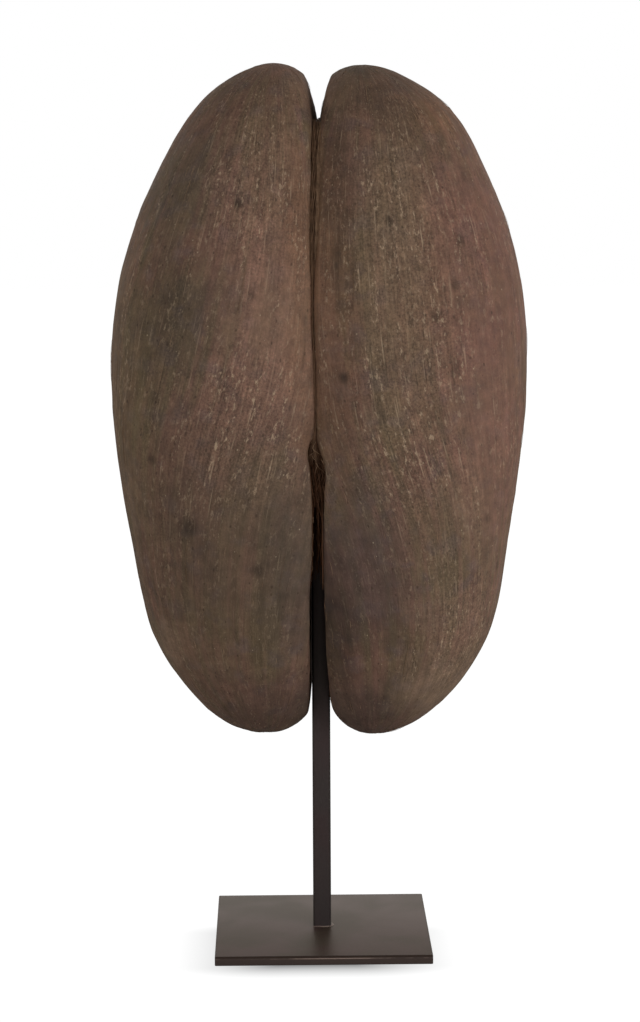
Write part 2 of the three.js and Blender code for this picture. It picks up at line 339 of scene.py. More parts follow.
def lobe_surface(lobe, latitude, around):
    """Points of a lobe, for arrays of latitude (0 to pi) and angle around (0 to 2 pi)."""
    inner, outer, depth, girth = ring_reach(lobe, latitude)
    z = lobe["bottom"][1] + (lobe["top"][1] - lobe["bottom"][1]) * (1 - np.cos(latitude)) / 2
    depth = depth * np.where(np.sin(around) < 0, FRONT_SHARE, BACK_SHARE)
    y = depth * signed_power(np.sin(around), 2 / RING_POWER) - FORWARD_SHIFT * girth
    x = (outer + inner) / 2 + signed_power(np.cos(around), 2 / RING_POWER) * (outer - inner) / 2
    near_bottom = np.clip((BOTTOM_SOFT_Z - z) / BOTTOM_SOFT_REACH, 0, 1)
    softness = lobe["lip_softness"] * (1 - near_bottom) + BOTTOM_SOFTNESS * near_bottom
    x, y, z = np.broadcast_arrays(behind_wall(x, half_gap(lobe, y, z), softness), y, z)
    return np.stack([lobe["side"] * x, y, z], axis=-1)


def even_columns(lobe, count):
    """Angles round a lobe and each one's place round its middle ring, from 0 to 1.

    They start in the middle of the facing wall, are sparser on the wall and denser beside it.
    """
    around = np.linspace(math.pi, 3 * math.pi, RING_SAMPLES)
    ring = lobe_surface(lobe, np.full(1, math.pi / 2), around)
    length = np.linalg.norm(np.diff(ring, axis=0), axis=1)
    middle = np.abs(ring[:-1, 0] + ring[1:, 0]) / 2
    weight = length * np.where(middle < WALL_X, WALL_DENSITY, np.where(middle < LIP_X, LIP_DENSITY, 1))
    spent = np.concatenate([[0], np.cumsum(weight)]) / weight.sum()
    place = np.concatenate([[0], np.cumsum(length)]) / length.sum()
    wanted = np.arange(count) / count
    return np.interp(wanted, spent, around), np.interp(wanted, spent, place)


def grid_normals(points):
    """Outward unit normals of a grid of rows by columns whose columns wrap round."""
    along = np.gradient(points, axis=0)
    across = np.roll(points, -1, axis=1) - np.roll(points, 1, axis=1)
    normals = unit(np.cross(across, along))
    outward = points - points.mean(axis=1, keepdims=True)
    return normals * np.sign((normals * outward).sum())


def fibre_line(place, t, lean):
    """Which fibre runs through a place round a lobe, at t of the way up it."""
    most, middle, spread = lean
    return place + most * np.tanh((t - middle) / spread) * np.sin(2 * math.pi * place)


def fibre_place(line, t, lean):
    """Where round a lobe a fibre is at t: fibre_line turned round."""
    place = line
    for _ in range(LEAN_STEPS):
        place = place + line - fibre_line(place, t, lean)
    return place


def lobe_relief(lobe, place, t, points):
    """How far each grid point stands out: swellings, dents, rough ends and fibres."""
    seed, lumps = lobe["seed"], (SWELL, DENTS, ROUGH_ENDS)  # each noise has a seed of its own
    swell, dents, rough = (
        height * cell_noise(seed + number, points / cell + NOISE_START, (NOISE_SIDE,) * 3)
        for number, (height, cell) in enumerate(lumps)
    )
    to_end = 1 - 2 * np.abs(t - 0.5)  # 0 at the poles
    rough = rough * np.exp(-(to_end / ROUGH_REACH) ** 2)
    line = fibre_line(place, t, lobe["lean"])
    sway = RIDGE_SWAY * strip_noise(seed + 3, line * SWAYS_ROUND, t * SWAYS_ALONG, SWAYS_ROUND)
    ridges = 0
    for number, (height, bundles, lengths) in enumerate(FIBRE_RIDGES, 4):
        noise = strip_noise(seed + number, line * bundles + sway, t * lengths, bundles)
        ridges = ridges + height * noise
    ridges = ridges * np.clip(to_end / RIDGE_FADE, 0, 1)
    past_wall = np.maximum(0, np.abs(points[..., 0]) - CALM_FROM_X)
    on_wall = np.exp(-(past_wall / CALM_REACH) ** 2)
    return (swell + dents + rough + ridges) * (1 - WALL_CALM * on_wall)


# ---- mesh building

def linked(name, data):
    """A new object in the scene that holds data."""
    piece = bpy.data.objects.new(name, data)
    bpy.context.scene.collection.objects.link(piece)
    return piece


def new_object(name, points, faces):
    """A smoothly shaded mesh object from points in millimetres."""
    mesh = bpy.data.meshes.new(name)
    mesh.from_pydata((np.asarray(points) * MM).tolist(), [], faces)
    mesh.validate()
    mesh.shade_smooth()
    return linked(name, mesh)


def object_of(name, bm):
    """A mesh object made of a bmesh, which is freed."""
    mesh = bpy.data.meshes.new(name)
    bm.to_mesh(mesh)
    bm.free()
    return linked(name, mesh)


def cylinder(name, radius, low, high, top_radius=None):
    """An upright cylinder, or a cone if it has a top_radius, on the post's axis, in millimetres."""
    bm = bmesh.new()
    radii = {"radius1": radius * MM, "radius2": (radius if top_radius is None else top_radius) * MM}
    bmesh.ops.create_cone(bm, cap_ends=True, segments=ROUND_SIDES, depth=(high - low) * MM, **radii)
    bmesh.ops.translate(bm, verts=bm.verts, vec=(0, 0, (low + high) / 2 * MM))
    return object_of(name, bm)


def block(name, low, high, edge_round=0.0, upright_only=False):
    """A box between two corners, in metres. All of its edges or the upright ones can be rounded."""
    bm = bmesh.new()
    bmesh.ops.create_cube(bm, size=1)
    bmesh.ops.scale(bm, verts=bm.verts, vec=high - low)
    bmesh.ops.translate(bm, verts=bm.verts, vec=(low + high) / 2)
    if edge_round:
        ends = {edge: [corner.co.z for corner in edge.verts] for edge in bm.edges}
        edges = [edge for edge, (one, other) in ends.items() if one != other or not upright_only]
        rounding = {"offset": edge_round * MM, "segments": EDGE_SEGMENTS, "profile": 0.5}
        bmesh.ops.bevel(bm, geom=edges, affect="EDGES", **rounding)
    return object_of(name, bm)


def combine(base, other, operation):
    """Unites base with other, or cuts other out of it, and removes other."""
    boolean = base.modifiers.new("combine", "BOOLEAN")
    boolean.operation, boolean.solver, boolean.object = operation, "MANIFOLD", other
    bpy.context.view_layer.objects.active = base
    bpy.ops.object.modifier_apply(modifier=boolean.name)
    bpy.data.objects.remove(other)
    return base


def finished(piece, material, slot, *nodes):
    """Gives a piece its material, hangs it from the root body and hides the frame's nodes it stands in
    for.
    """
    piece.data.materials.clear()
    piece.data.materials.append(material)
    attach(piece, "root")
    if nodes:
        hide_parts(*nodes)
    return piece


# ---- the nut

def wander(points):
    """Bends the furrow a little from side to side, and swells the left lobe's lip into the cleft."""
    x, y, z = points[..., 0], points[..., 1], points[..., 2]
    along = (z - WANDER_FROM_Z) / (NOTCH_Z - WANDER_FROM_Z)
    held = np.clip(WANDER_HOLD - np.abs(2 * along - 1), 0, 1)
    drift = smooth_through(FURROW_WANDER, along) * held
    near_furrow = np.exp(-(x / WANDER_REACH) ** 2)
    beside_lip = np.exp(-((y - LIP_SWELL_Y) / LIP_SWELL_REACH) ** 2 - (x / LIP_SWELL_REACH) ** 2)
    rise = np.exp(-((z - LIP_SWELL_Z) / LIP_SWELL_RISE) ** LIP_SWELL_POWER)
    swell = LIP_SWELL * rise * beside_lip * (x < 0)
    moved = points.copy()
    moved[..., 0] += drift * near_furrow + swell
    return moved


class LobeGrid:
    """A lobe's finished surface: points in rows and wrapping columns, and the two poles."""

    def __init__(self, lobe):
        around, self.place = even_columns(lobe, AROUND_COLUMNS)
        latitude = np.linspace(0, math.pi, LATITUDE_ROWS + 1)[1:-1]
        points = lobe_surface(lobe, latitude[:, None], around[None, :])
        t = latitude[:, None] / math.pi
        relief = lobe_relief(lobe, self.place[None, :], t, points)
        self.points = wander(points + grid_normals(points) * relief[..., None])
        self.poles = lobe_surface(lobe, np.array([0, math.pi]), np.array([0.0, 0.0]))
        self.side, self.lean = lobe["side"], lobe["lean"]
        self.rows, self.columns = self.points.shape[:2]

    def along_fibre(self, row, column, rows_on):
        """The column at which the fibre through a row and column is after some more rows."""
        ends = np.append(self.place, 1.0)
        place = np.interp(column % self.columns, np.arange(self.columns + 1), ends)
        line = fibre_line(place, (row + 1) / (self.rows + 1), self.lean)
        moved = fibre_place(line, (row + rows_on + 1) / (self.rows + 1), self.lean)
        moved_column = float(np.interp(moved, ends, np.arange(self.columns + 1)))
        return column + moved_column - column % self.columns

    def at(self, row, column):
        """The surface point at a fractional row and column."""
        row = min(max(row, 0.0), self.rows - 1 - ROW_SPARE)
        low, left = int(row), math.floor(column)
        up, right = row - low, column - left
        square = self.points[low : low + 2, [left % self.columns, (left + 1) % self.columns]]
        lower, upper = square[:, 0] * (1 - right) + square[:, 1] * right
        return lower * (1 - up) + upper * up

    def outward(self, row, column):
        """The unit vector that points out of the surface there."""
        across = self.at(row, column + 0.5) - self.at(row, column - 0.5)
        along = self.at(row + 0.5, column) - self.at(row - 0.5, column)
        return unit(np.cross(across, along) * self.side)


def lobe_faces(grid):
    """Corner numbers and UVs of a lobe's faces: quads between rings, and a fan at each pole."""
    rows, columns = grid.rows, grid.columns
    edges = np.append(grid.place, 1.0)
    row, column = (index.ravel() for index in np.mgrid[0 : rows - 1, 0:columns])
    quad_rows = np.stack([row, row, row + 1, row + 1], axis=1)
    quad_columns = np.stack([column, column + 1, column + 1, column], axis=1)
    quads = quad_rows * columns + quad_columns % columns
    quad_t = (quad_rows + 1) / (rows + 1)
    quad_uv = np.stack([fibre_line(edges[quad_columns], quad_t, grid.lean), quad_t], axis=2)

    first = np.arange(columns)
    second = first + 1
    fans, fan_uvs = [], []
    for pole, row, ends in ((0, 0, (second, first)), (1, rows - 1, (first, second))):
        tip = np.full(columns, rows * columns + pole)
        fans.append(np.stack([tip, *(row * columns + end % columns for end in ends)], axis=1))
        middle = (edges[first] + edges[second]) / 2
        u = np.stack([middle, *(edges[end] for end in ends)], axis=1)
        ring_t = (row + 1) / (rows + 1)
        v = np.tile([float(pole), ring_t, ring_t], (columns, 1))
        fan_uvs.append(np.stack([fibre_line(u, v, grid.lean), v], axis=2))
    return quads, quad_uv, np.concatenate(fans), np.concatenate(fan_uvs)


def lobe_object(name, grid):
    quads, quad_uv, fans, fan_uv = lobe_faces(grid)
    if grid.side < 0:  # the mirrored lobe's faces run the other way round
        quads, quad_uv, fans, fan_uv = (a[:, ::-1] for a in (quads, quad_uv, fans, fan_uv))
    vertices = np.concatenate([grid.points.reshape(-1, 3), grid.poles])
    piece = new_object(name, vertices, quads.tolist() + fans.tolist())
    uv = np.concatenate([quad_uv.reshape(-1, 2), fan_uv.reshape(-1, 2)])
    uv[:, 0] += grid.side  # so the two lobes do not mirror each other's pattern
    piece.data.uv_layers.new(name="fibre").data.foreach_set("uv", uv.ravel())
    return piece


def web_depth(y, z):
    """Depth y held a little behind the furrow's lips at height z."""
    along = (z - CROTCH_RIM_Z) / (NOTCH_Z - CROTCH_RIM_Z)
    below = smooth_through(WEB_BELOW_LIPS, along)
    front, back = lips(z)
    return np.clip(y, front + below, back - below)


def crotch_height(share):
    """The height of the web's lower edge, at a share, from -1 to 1, of the way out from mid-depth."""
    return CROTCH_Z + (CROTCH_RIM_Z - CROTCH_Z) * np.abs(share) ** CROTCH_POWER


def web_outline():
    """The web seen from the side, as (y, z): an arch, and a lower edge that dips in mid-depth."""
    half_height = NOTCH_Z - WEB_CENTRE_Z
    rim = math.asin(-(((WEB_CENTRE_Z - CROTCH_RIM_Z) / half_height) ** (WEB_ARCH_POWER / 2)))
    angle = np.linspace(rim, math.pi - rim, WEB_ARCH_STEPS + 1)
    z = WEB_CENTRE_Z + half_height * signed_power(np.sin(angle), 2 / WEB_ARCH_POWER)
    y = web_depth(WEB_HALF_DEPTH * signed_power(np.cos(angle), 2 / WEB_ARCH_POWER), z)
    share = np.linspace(-1, 1, WEB_CROTCH_STEPS + 1)[1:-1]
    crotch_y = (y[0] + y[-1]) / 2 + share * (y[0] - y[-1]) / 2
    crotch = np.stack([crotch_y, crotch_height(share)], axis=1)
    return np.concatenate([np.stack([y, z], axis=1), crotch])


def web_object():
    """The web, with coarse strings on it where it shows in the furrow and the cleft."""
    outline = web_outline()
    across = np.linspace(-WEB_HALF_THICKNESS, WEB_HALF_THICKNESS, WEB_COLUMNS)
    steps = np.arange(len(outline))
    ahead, behind = np.roll(outline, -1, axis=0), np.roll(outline, 1, axis=0)
    tangent = (ahead - behind) / np.linalg.norm(ahead - behind, axis=1, keepdims=True)
    outward = np.stack([tangent[:, 1], -tangent[:, 0]], axis=1)
    (width, length), (start, wrap) = WEB_STRING, WEB_PATTERN
    strings = strip_noise(WEB_SEED, across / width + start, steps[:, None] / length, wrap)
    points = np.empty((len(outline), WEB_COLUMNS, 3))
    points[..., 0] = across
    points[..., 1:] = outline[:, None] + outward[:, None] * WEB_RELIEF * strings[..., None]

    step, column = (index.ravel() for index in np.mgrid[0 : len(outline), 0 : WEB_COLUMNS - 1])
    following = (step + 1) % len(outline)
    corners = (step, column), (following, column), (following, column + 1), (step, column + 1)
    faces = np.stack([a * WEB_COLUMNS + b for a, b in corners], axis=1).tolist()
    faces.append((steps[::-1] * WEB_COLUMNS).tolist())
    faces.append((steps * WEB_COLUMNS + WEB_COLUMNS - 1).tolist())
    piece = new_object("web", wander(points).reshape(-1, 3), faces)

    corner = np.empty(len(piece.data.loops), int)
    piece.data.loops.foreach_get("vertex_index", corner)
    uv = points.reshape(-1, 3)[corner][:, [0, 2]] / (LOBE_GIRTH, LOBE_LENGTH)
    piece.data.uv_layers.new(name="fibre").data.foreach_set("uv", uv.ravel())
    return piece


def turn_nut(piece):
    """The nut stands a little turned on its post."""
    piece.data.transform(Matrix.Rotation(NUT_TURN, 4, "Z"))


def nut_object(grids):
    """The whole nut: both lobes and the web as one body, with the post's seat and hole cut in it."""
    nut = lobe_object("nut_body", grids["right"])
    combine(nut, lobe_object("left_lobe", grids["left"]), "UNION")
    combine(nut, web_object(), "UNION")
    turn_nut(nut)
    post_low, post_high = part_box("post")
    half = (post_high.x - post_low.x) / 2 + SEAT_MARGIN * MM
    seat_low = Vector((-half, -half, (SHOULDER_Z - SEAT_HEIGHT) * MM))
    combine(nut, block("seat", seat_low, Vector((half, half, SHOULDER_Z * MM))), "DIFFERENCE")
    hole_top = post_high.z / MM + HOLE_SPARE
    hole = cylinder("hole", SPIGOT_RADIUS + HOLE_CLEARANCE, SHOULDER_Z - PAST, hole_top)
    combine(nut, hole, "DIFFERENCE")
    nut.data.set_sharp_from_angle(angle=SHARP_ANGLE)
    return nut


# ---- loose fibres

def strand_object(name, strands):
    """One mesh of thin fibres: each is a path, a radius and a tone from 0, brown, to 1, pale."""
    points, faces, tones = [], [], []
    angle = 2 * math.pi * np.arange(STRAND_SIDES)[:, None] / STRAND_SIDES
    sides = range(STRAND_SIDES)
    for path, radius, tone in strands:
        path = np.asarray(path)
        tangent = unit(np.gradient(path, axis=0))
        aside = unit(np.cross(tangent, STRAND_ASIDE))
        above = np.cross(tangent, aside)
        bulge = np.sin(np.linspace(STRAND_TAPER, math.pi - STRAND_TAPER, len(path)))
        thick = radius * (STRAND_TIP + (1 - STRAND_TIP) * bulge)
        ring = np.cos(angle) * aside[:, None] + np.sin(angle) * above[:, None]
        first = len(points)
        points.extend((path[:, None] + thick[:, None, None] * ring).reshape(-1, 3))
        last = len(points) - STRAND_SIDES
        for low in range(first, last, STRAND_SIDES):
            for side in sides:
                a, b = low + side, low + (side + 1) % STRAND_SIDES
                faces.append((a, b, b + STRAND_SIDES, a + STRAND_SIDES))
        faces.append(tuple(first + side for side in reversed(sides)))
        faces.append(tuple(last + side for side in sides))
        tones += [tone] * (len(path) * STRAND_SIDES)
    piece = new_object(name, np.array(points), faces)
    piece.data.attributes.new("tone", "FLOAT", "POINT").data.foreach_set("value", tones)
    turn_nut(piece)
    return piece


def surface_fibre(grid, rng, row, column, length, lift, bend):
    """A path that leaves the surface, runs along the lobe with a little drift, and comes back."""
    drift, bend = rng.normal(0, FIBRE_DRIFT), rng.normal(0, bend)
    path = []
    for share in np.linspace(0, 1, max(LEAST_STEPS, round(length / FIBRE_STEP)) + 1):
        rows_on = (share - 0.5) * length * ROWS_PER_MM
        here = grid.along_fibre(row, column, rows_on)
        here += (share - 0.5) * length * drift + bend * math.sin(math.pi * share)
        height = lift * math.sin(math.pi * share) - FIBRE_SUNK
        path.append(grid.at(row + rows_on, here) + grid.outward(row + rows_on, here) * height)
    return path


def surface_fibres(grids):
    """The short pale fibre ends that stand out of the husk all over, and some longer loose ones."""
    rng = np.random.default_rng(FIBRE_SEED)
    for grid in grids.values():
        for count, lengths, lift, radius, bend, along, around, tones in FIBRE_KINDS:
            for _ in range(count):
                row = rng.uniform(*along) * grid.rows
                column = np.interp(rng.uniform(*around), grid.place, np.arange(grid.columns))
                path = surface_fibre(grid, rng, row, column, rng.uniform(*lengths), lift, bend)
                yield path, radius * rng.uniform(*FIBRE_THICKNESS), rng.uniform(*tones)


def furrow_string(rng, front, heights, lengths, depths, across):
    """A string that lies in the furrow, a little below its lips."""
    middle, length = rng.uniform(*heights), rng.uniform(*lengths)
    depth, across, phase = rng.uniform(*depths), rng.uniform(*across), rng.uniform(0, 2 * math.pi)
    low, high = max(heights[0], middle - length / 2), min(heights[1], middle + length / 2)
    z = np.linspace(low, high, max(LEAST_STEPS, round((high - low) / STRING_STEP)))
    y = lips(z)[0 if front < 0 else 1] - front * depth
    share = across + STRING_SWAY * np.sin(phase + z * 2 * math.pi / STRING_SWAY_LENGTH)
    return between_walls(share, y, z, STRING_CLEARANCE, tuck=STRING_TUCK)


def tuft_hair(rng, front, roots, lengths, curls, lean):
    """A hair that grows from the head of the cleft, hangs down it and curls."""
    share = rng.uniform(*roots)
    rim = lips(CROTCH_RIM_Z)[0 if front < 0 else 1] - front * TUFT_BACK_SET
    root_z = crotch_height(share) + TUFT_ABOVE
    length = rng.uniform(*lengths) * share
    across, lean_x = rng.uniform(*TUFT_ACROSS), rng.normal(0, lean)
    lean_y = front * rng.uniform(*TUFT_LEAN_OUT)
    curl, phase = rng.uniform(*curls), rng.uniform(0, 2 * math.pi)
    part = np.linspace(0, 1, TUFT_STEPS)
    sway = curl * (np.sin(phase + TUFT_WAVE * part) - math.sin(phase))
    y = share * rim + lean_y * length * part + TUFT_WAVE_OUT * sway
    z = root_z - length * part * (1 - TUFT_DROOP * part)
    return between_walls(across, y, z, TUFT_CLEARANCE, lean_x * length * part + sway)


def front_and_back(grow, kinds, seed):
    """Strands that grow(rng, front, *traits) makes, in front, where front is -1, and behind."""
    rng = np.random.default_rng(seed)
    for in_front, behind, *traits, radii, tones in kinds:
        for front, count in ((-1, in_front), (1, behind)):
            for _ in range(count):
                yield grow(rng, front, *traits), rng.uniform(*radii), rng.uniform(*tones)


# ---- the stand

def shade(piece):
    """Smooth shading, with the real edges kept sharp."""
    piece.data.shade_smooth()
    piece.data.set_sharp_from_angle(angle=STAND_SHARP_ANGLE)
    return piece


def plate_object():
    """The square plate, its edges broken, with the countersunk hole for the screw in its underside."""
    low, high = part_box("base_plate")
    plate = block("plate", low, high, PLATE_EDGE_ROUND)
    cone_top = PLATE_SINK_RIM + PLATE_SINK_RADIUS - PLATE_HOLE_RADIUS
    for cutter in (
        cylinder("rim", PLATE_SINK_RADIUS, -PAST, PLATE_SINK_RIM),
        cylinder("sink", PLATE_SINK_RADIUS, PLATE_SINK_RIM, cone_top, PLATE_HOLE_RADIUS),
        cylinder("screw_hole", PLATE_HOLE_RADIUS, -PAST, high.z / MM + PAST),
    ):
        combine(plate, cutter, "DIFFERENCE")
    return shade(plate)


def post_object():
    """The square post, with the spigot that the nut sits on and the threaded hole in its foot."""
    low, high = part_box("post")
    top = Vector((high.x, high.y, SHOULDER_Z * MM))
    post = block("stand_post", low, top, POST_CORNER_ROUND, upright_only=True)
    combine(post, cylinder("spigot", SPIGOT_RADIUS, SHOULDER_Z - PAST, high.z / MM), "UNION")
    foot = low.z / MM
    plate_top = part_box("base_plate")[1].z / MM
    bead_low, bead_high = plate_top - BEAD_SUNK, plate_top + BEAD_HEIGHT
    bead = cylinder("bead", BEAD_RADIUS, bead_low, bead_high, BEAD_RADIUS - BEAD_HEIGHT)
    bead.data.transform(Matrix.Translation(Vector((*BEAD_PLACE, 0)) * MM))
    combine(post, bead, "UNION")
    foot_hole = cylinder("foot_hole", FOOT_HOLE_RADIUS, foot - PAST, foot + FOOT_HOLE_DEPTH)
    combine(post, foot_hole, "DIFFERENCE")
    return shade(post)


# ---- materials

def colour(red, green, blue):
    """A linear colour from its everyday 0 to 255 values."""
    shares = (channel / 255 for channel in (red, green, blue))
    return (*(s / 12.92 if s <= 0.04045 else ((s + 0.055) / 1.055) ** 2.4 for s in shares), 1.0)


HUSK_OLIVE, HUSK_RED, HUSK_GREY = colour(99, 83, 63), colour(113, 84, 71), colour(89, 74, 63)
HUSK_FLECK, HUSK_GRAIN, HUSK_DARK = colour(176, 154, 128), colour(196, 178, 150), colour(48, 36, 28)
HUSK_BLUE = colour(92, 80, 82)
FIBRE_PALE, FIBRE_BROWN = colour(162, 134, 108), colour(68, 40, 22)
PLATE_BROWN, PLATE_GREY = colour(69, 52, 50), colour(63, 55, 46)
POST_BROWN, POST_GREY, POST_CORNER_REFLECTION = colour(54, 43, 44), colour(50, 45, 45), colour(20, 16, 15)
PLATE_SHEEN, PLATE_GLOSS = (0.80, 0.58, 0.47, 1), 0.25
POST_SHEEN, POST_GLOSS = (1.0, 0.88, 0.84, 1), 0.5
PAINTED_HIGHLIGHT, PLATE_SIDES_LIT, PLATE_RIM_SHADE = colour(150, 132, 122), colour(67, 58, 55), colour(44, 35, 31)
STEEL_LIGHT, STEEL_DARK = colour(190, 190, 186), colour(140, 140, 138)
# On the plate: how far in its sides begin, which are painted a lighter copy for the light they get; how
# far from the upper edge the rim of painted shade reaches, and its strength; the painted highlight line
# below that, from its lower border to its upper one, where it is brightest, how far that spreads, how
# much it is there and at the ends, and the steps of the sum.
LIT_SIDES_BEGIN, RIM_REACH, RIM_SHARE, HIGHLIGHT_LINE = (0.4, 0.1), (1.0, 0.8), 0.75, (1.6, 1.3, 1.1, 0.9)
HIGHLIGHT_PLACE, HIGHLIGHT_SPREAD = (4.0, -50.0, 6.0), 34.0
HIGHLIGHT_ENDS, HIGHLIGHT_STEPS = (0.75, 0.1), (0.5, 1.2, 0, 0.75)
# On the post: from where to where |x| + |y| makes it a corner, where a dark reflection is painted;
# where the painted highlight on the bead fades, and how strong it is.
CORNER_SUM, CORNER_SHARE = (7.2, 7.9), 0.85
BEAD_HIGHLIGHT, BEAD_HIGHLIGHT_SHARE = (-0.05, 0.1), 0.5

# The noises: the cell in millimetres, round or across and along the fibres; detail, roughness,
# distortion and which part of the pattern; then, if it is stepped, from where to where and to what.
NOISES = {
    "cloud": (46, 2, 0.5, 0.4, 0),
    "bands": ((6, 130), 2, 0.6, 0, 14),
    "grey": (17, 2, 0.5, 0, 20, 0.5, 0.68, 0, 0.35),
    "blue": (10, 3, 0.5, 0, 61, 0.5, 0.66, 0, 0.35),
    "ragged": (14, 3, 0.5, 0, 12),
    "dust": ((9, 70), 2, 0.5, 0, 7, 0.4, 0.62, 0, 0.55),
    "patches": (6, 1, 0.5, 0, 71),
    "mottle": (4, 4, 0.65, 0, 0),
    "broad": ((3.2, 50), 3, 0.6, 0, 3),
    "fine": ((1.1, 14), 4, 0.65, 0.15, 0),
    "grain": (1, 2, 0.7, 0, 0),
    "rows": ((4.2, 22), 3, 0.5, 0, 17, 0.44, 0.60, 0.12, 1),
    "gaps": ((1.5, 3.4), 2, 0.5, 0, 31, 0.53, 0.68),
    "cracks": ((1, 34), 2, 0.5, 0, 51, 0.62, 0.72),
    "ends": ((1.5, 2.5), 3, 0.7, 0, 21, 0.52, 0.64),
    "lines": ((1, 19), 2, 0.5, 0, 41, 0.60, 0.72),
    "loose": (3, 2, 0.5, 0, 0),
    "paint": (30, 2, 0.5, 0.3, 0, 0.35, 0.65),
    "specks": (1.4, 3, 0.6, 0, 0),
    "skin": (0.5, 2, 0.5, 0, 0),
    "highlight_breaks": (5, 2, 0.5, 0, 0),
    "turning": (0.35, 2, 0.6, 0, 0),
}
# Noises that make the husk lighter and darker: by how much everywhere, and besides where it is dusty.
TONES = (
    ("patches", 0.12, 0),
    ("mottle", 0.09, 0.06),
    ("broad", 0.12, 0),
    ("fine", 0, 0.26),
    ("grain", 0, 0.30),
)
TONE_STEPS = (0.28, 0.72, -1, 1)
# Marks where the husk is dusty: their strength and colour. Then the relief's shares of the noises.
MARKS = (
    ("gaps", 0.22, HUSK_DARK),
    ("cracks", 0.55, HUSK_DARK),
    ("ends", 0.80, HUSK_FLECK),
    ("lines", 0.60, HUSK_FLECK),
)
RELIEF = {"fine": 0.6, "grain": 0.4, "gaps": -0.3, "cracks": -0.3, "dusty ends": 0.25}
HUE_STEPS = (0.4, 0.6)  # from olive to red

# Each material's roughness, as the steps of a noise, its gloss, and its relief in millimetres.
HUSK_ROUGHNESS, HUSK_GLOSS, HUSK_RELIEF = (0.3, 0.7, 0.62, 0.76), 0.28, 0.35
FIBRE_ROUGHNESS, FIBRE_GLOSS, FIBRE_TONE = 0.75, 0.15, 0.2
PAINT_ROUGHNESS, PAINT_RELIEF, PAINT_TONE = (0.3, 0.7, 0.33, 0.39), 0.02, 0.08
STEEL_ROUGHNESS, STEEL_RELIEF = (0.3, 0.7, 0.25, 0.42), 0.03

# Spots on the husk: cell across and along the fibres in millimetres, size in cells, share of the
# cells, strength and colour, and which part of the pattern they take.
HUSK_SPOTS = (
    (3.6, 4.2, 0.10, 0.05, 0.50, HUSK_GRAIN, 11.0),
    (5.5, 6.5, 0.13, 0.34, 0.55, HUSK_DARK, 23.0),
    (21.0, 24.0, 0.12, 0.40, 0.28, HUSK_DARK, 37.0),
)
SPOT_CORE, SMALLEST_SPOT = 0.35, 0.45  # of a spot's size: its full strength, and the smallest spot
SPOT_CHANCE_STEP = 0.01
